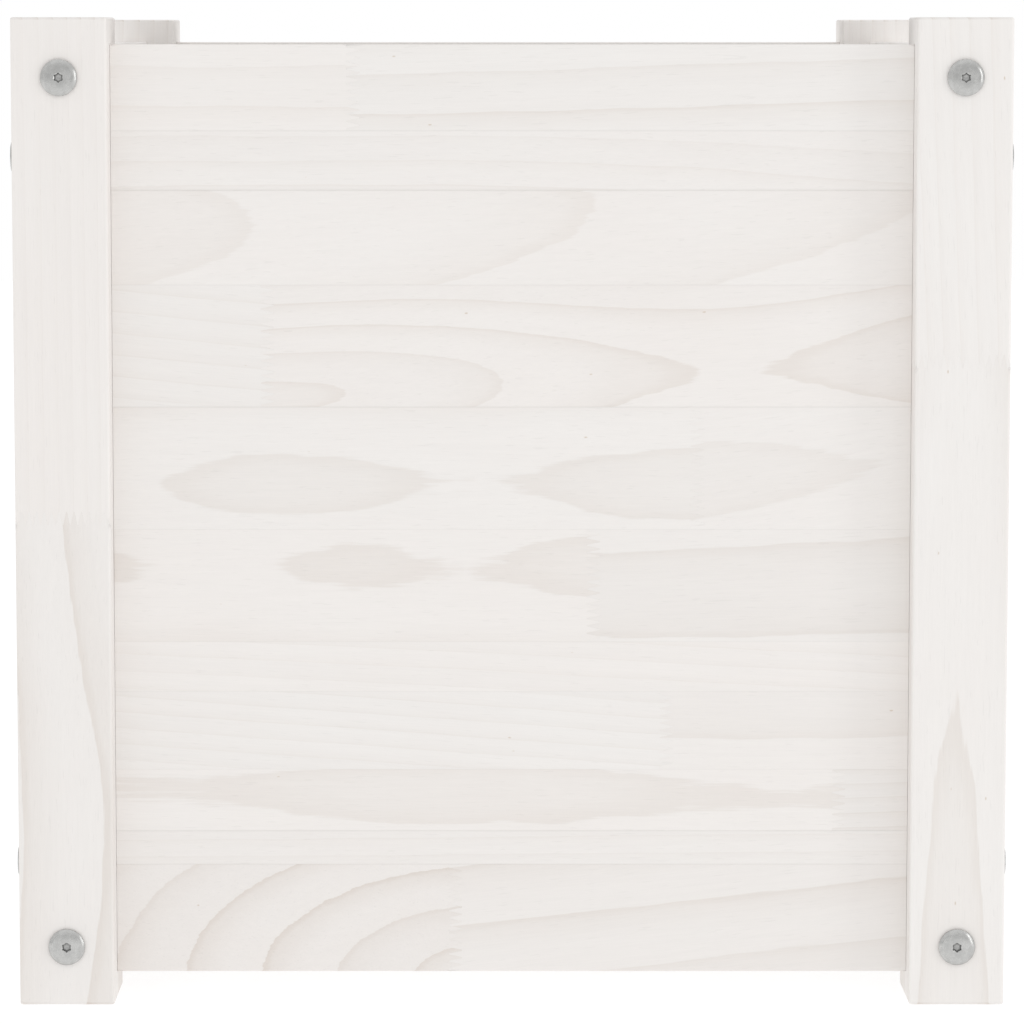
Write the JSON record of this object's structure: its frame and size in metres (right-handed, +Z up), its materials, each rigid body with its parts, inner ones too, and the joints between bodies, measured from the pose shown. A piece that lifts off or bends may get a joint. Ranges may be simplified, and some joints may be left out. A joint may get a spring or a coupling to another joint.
{
  "type": "planter box",
  "caption": "Square Versailles planter in whitewashed pine, with corner posts, glued board panels, cross-bolted corners and a slatted floor.",
  "frame": {"origin": "centre of the base, on the ground between the four feet", "axes": "+Z up, the front panel faces -Y, +X to the right seen from the front"},
  "size_m": [0.505, 0.505, 0.5],
  "materials": {
    "whitewashed_pine": "matt white wash, with the grain and the glue lines just showing",
    "zinc_plated_steel": "satin zinc plate"
  },
  "bodies": {
    "root": {"post_front_left": "whitewashed_pine", "post_front_right": "whitewashed_pine", "post_rear_left": "whitewashed_pine", "post_rear_right": "whitewashed_pine", "panel_front": "whitewashed_pine", "panel_right": "whitewashed_pine", "panel_rear": "whitewashed_pine", "panel_left": "whitewashed_pine", "floor_cleat_front": "whitewashed_pine", "floor_cleat_rear": "whitewashed_pine", "floor_slat_1": "whitewashed_pine", "floor_slat_2": "whitewashed_pine", "floor_slat_3": "whitewashed_pine", "floor_slat_4": "whitewashed_pine", "floor_slat_5": "whitewashed_pine", "floor_slat_6": "whitewashed_pine", "bolt_front_left_lower": "zinc_plated_steel", "bolt_front_left_upper": "zinc_plated_steel", "bolt_front_right_lower": "zinc_plated_steel", "bolt_front_right_upper": "zinc_plated_steel", "bolt_right_front_lower": "zinc_plated_steel", "bolt_right_front_upper": "zinc_plated_steel", "bolt_right_rear_lower": "zinc_plated_steel", "bolt_right_rear_upper": "zinc_plated_steel", "bolt_rear_left_lower": "zinc_plated_steel", "bolt_rear_left_upper": "zinc_plated_steel", "bolt_rear_right_lower": "zinc_plated_steel", "bolt_rear_right_upper": "zinc_plated_steel", "bolt_left_front_lower": "zinc_plated_steel", "bolt_left_front_upper": "zinc_plated_steel", "bolt_left_rear_lower": "zinc_plated_steel", "bolt_left_rear_upper": "zinc_plated_steel", "barrel_nut_front_left_lower": "zinc_plated_steel", "barrel_nut_front_left_upper": "zinc_plated_steel", "barrel_nut_front_right_lower": "zinc_plated_steel", "barrel_nut_front_right_upper": "zinc_plated_steel", "barrel_nut_right_front_lower": "zinc_plated_steel", "barrel_nut_right_front_upper": "zinc_plated_steel", "barrel_nut_right_rear_lower": "zinc_plated_steel", "barrel_nut_right_rear_upper": "zinc_plated_steel", "barrel_nut_rear_left_lower": "zinc_plated_steel", "barrel_nut_rear_left_upper": "zinc_plated_steel", "barrel_nut_rear_right_lower": "zinc_plated_steel", "barrel_nut_rear_right_upper": "zinc_plated_steel", "barrel_nut_left_front_lower": "zinc_plated_steel", "barrel_nut_left_front_upper": "zinc_plated_steel", "barrel_nut_left_rear_lower": "zinc_plated_steel", "barrel_nut_left_rear_upper": "zinc_plated_steel", "slat_screw_front_1": "zinc_plated_steel", "slat_screw_front_2": "zinc_plated_steel", "slat_screw_front_3": "zinc_plated_steel", "slat_screw_front_4": "zinc_plated_steel", "slat_screw_front_5": "zinc_plated_steel", "slat_screw_front_6": "zinc_plated_steel", "slat_screw_rear_1": "zinc_plated_steel", "slat_screw_rear_2": "zinc_plated_steel", "slat_screw_rear_3": "zinc_plated_steel", "slat_screw_rear_4": "zinc_plated_steel", "slat_screw_rear_5": "zinc_plated_steel", "slat_screw_rear_6": "zinc_plated_steel"}
  },
  "joints": []
}
